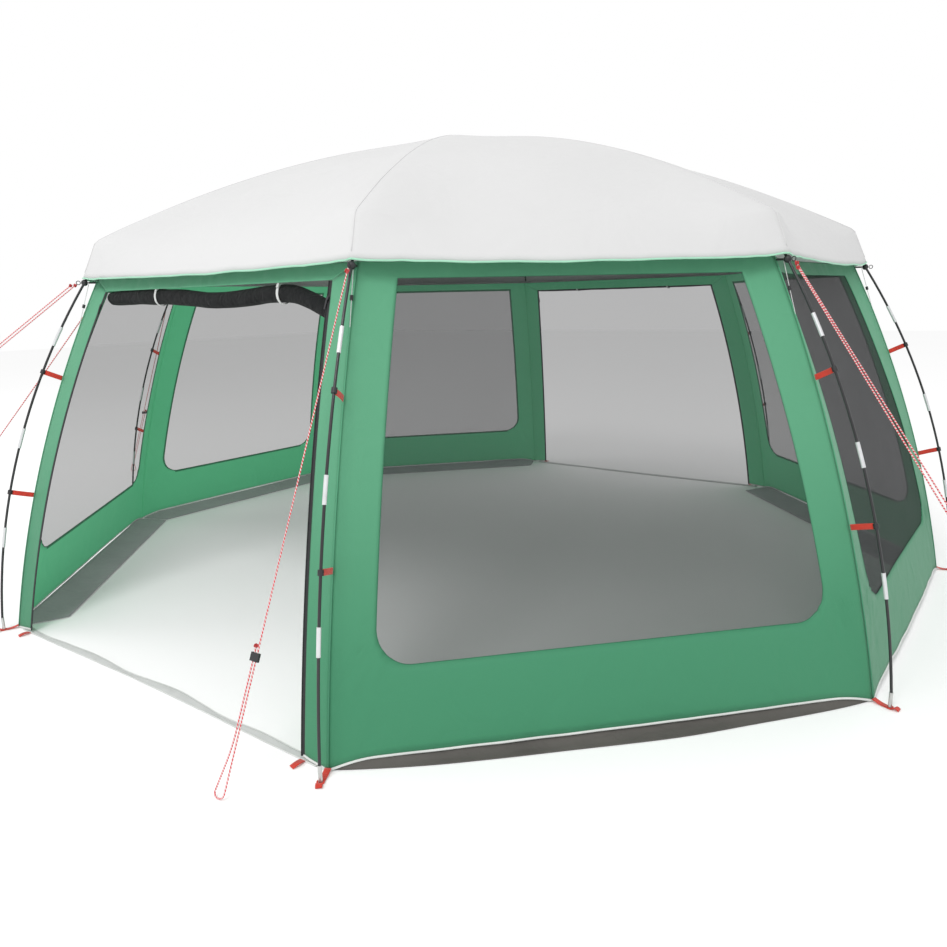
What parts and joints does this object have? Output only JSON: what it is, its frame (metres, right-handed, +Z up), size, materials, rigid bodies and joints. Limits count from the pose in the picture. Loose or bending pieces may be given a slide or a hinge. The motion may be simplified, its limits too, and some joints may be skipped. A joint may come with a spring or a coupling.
{
  "type": "screen house tent",
  "caption": "Octagonal domed garden shelter with netting windows, two zipped doors rolled up, curved outer poles and guy ropes.",
  "frame": {"origin": "middle of the ground plane inside the eight feet", "axes": "+Z up, -Y out of the front door, +X to the right seen from the front"},
  "size_m": [6.4219, 4.8055, 2.264],
  "materials": {
    "frame_pole": "satin fibreglass",
    "ferrule": "satin",
    "elbow": "satin grey",
    "foot_tip": "satin",
    "black_plastic": "moulded",
    "red_webbing": "woven tape",
    "roof_cloth": "coated polyester",
    "green_cloth": "coated polyester",
    "netting": "fine netting",
    "flap_cloth": "coated polyester",
    "white_tape": "woven tape",
    "zip_tape": "woven tape with coil zip",
    "zip_metal": "black",
    "guy_cord": "braided red and white cord",
    "elastic_cord": "braided elastic"
  },
  "bodies": {
    "shelter": {"leg_pole_1": "frame_pole", "leg_pole_2": "frame_pole", "leg_pole_3": "frame_pole", "leg_pole_4": "frame_pole", "leg_pole_5": "frame_pole", "leg_pole_6": "frame_pole", "leg_pole_7": "frame_pole", "leg_pole_8": "frame_pole", "roof_poles": "frame_pole", "pole_ferrules": "ferrule", "shoulder_elbows": "elbow", "crown_hub": "black_plastic", "foot_tips": "foot_tip", "roof_gores": "roof_cloth", "roof_skirt": "roof_cloth", "roof_soffit": "roof_cloth", "mud_flaps": "flap_cloth", "door_sills": "white_tape", "pole_clips": "black_plastic", "clip_tabs": "red_webbing", "eave_knobs": "black_plastic", "eave_bars": "black_plastic", "foot_webbing": "red_webbing", "door_peg_loops": "red_webbing", "zip_tapes": "zip_tape", "door_roll_front": "netting", "door_roll_back": "netting", "roll_ties": "white_tape", "eave_elastics": "elastic_cord", "cord_locks": "black_plastic", "guy_rope_wall": "guy_cord", "guy_rope_1": "guy_cord", "guy_rope_2": "guy_cord", "guy_rope_3": "guy_cord", "guy_rope_8": "guy_cord", "wall_front": "green_cloth", "wall_front_right": "green_cloth", "window_mesh_front_right": "netting", "wall_right": "green_cloth", "window_mesh_right": "netting", "wall_back_right": "green_cloth", "window_mesh_back_right": "netting", "wall_back": "green_cloth", "wall_back_left": "green_cloth", "window_mesh_back_left": "netting", "wall_left": "green_cloth", "window_mesh_left": "netting", "wall_front_left": "green_cloth", "window_mesh_front_left": "netting"},
    "zip_slider_front_left": {"zip_slider_front_left": "zip_metal"},
    "zip_slider_front_right": {"zip_slider_front_right": "zip_metal"},
    "zip_slider_back_left": {"zip_slider_back_left": "zip_metal"},
    "zip_slider_back_right": {"zip_slider_back_right": "zip_metal"},
    "tensioner_2": {"rope_tensioner_2": "black_plastic"},
    "tensioner_8": {"rope_tensioner_8": "black_plastic"}
  },
  "joints": [
    {"name": "zip_front_left", "type": "hinge", "parent": "shelter", "child": "zip_slider_front_left", "pos_m": [1.35536, 2.71953, -0.91857], "axis": [0.91, -0.4147, 0], "range_deg": [0, 14.85]},
    {"name": "zip_front_right", "type": "hinge", "parent": "shelter", "child": "zip_slider_front_right", "pos_m": [-1.35536, 2.71953, -0.91857], "axis": [0.91, 0.4147, 0], "range_deg": [0, 14.85]},
    {"name": "zip_back_left", "type": "hinge", "parent": "shelter", "child": "zip_slider_back_left", "pos_m": [-1.35536, -2.71953, -0.91857], "axis": [-0.91, 0.4147, 0], "range_deg": [0, 14.85]},
    {"name": "zip_back_right", "type": "hinge", "parent": "shelter", "child": "zip_slider_back_right", "pos_m": [1.35536, -2.71953, -0.91857], "axis": [-0.91, -0.4147, 0], "range_deg": [0, 14.85]},
    {"name": "tensioner_2_slide", "type": "slide", "parent": "shelter", "child": "tensioner_2", "axis": [0.0191, -0.3991, -0.9167], "range_m": [0, 0.163]},
    {"name": "tensioner_8_slide", "type": "slide", "parent": "shelter", "child": "tensioner_8", "axis": [-0.7649, 0.2801, -0.5801], "range_m": [0, 0.799]}
  ]
}
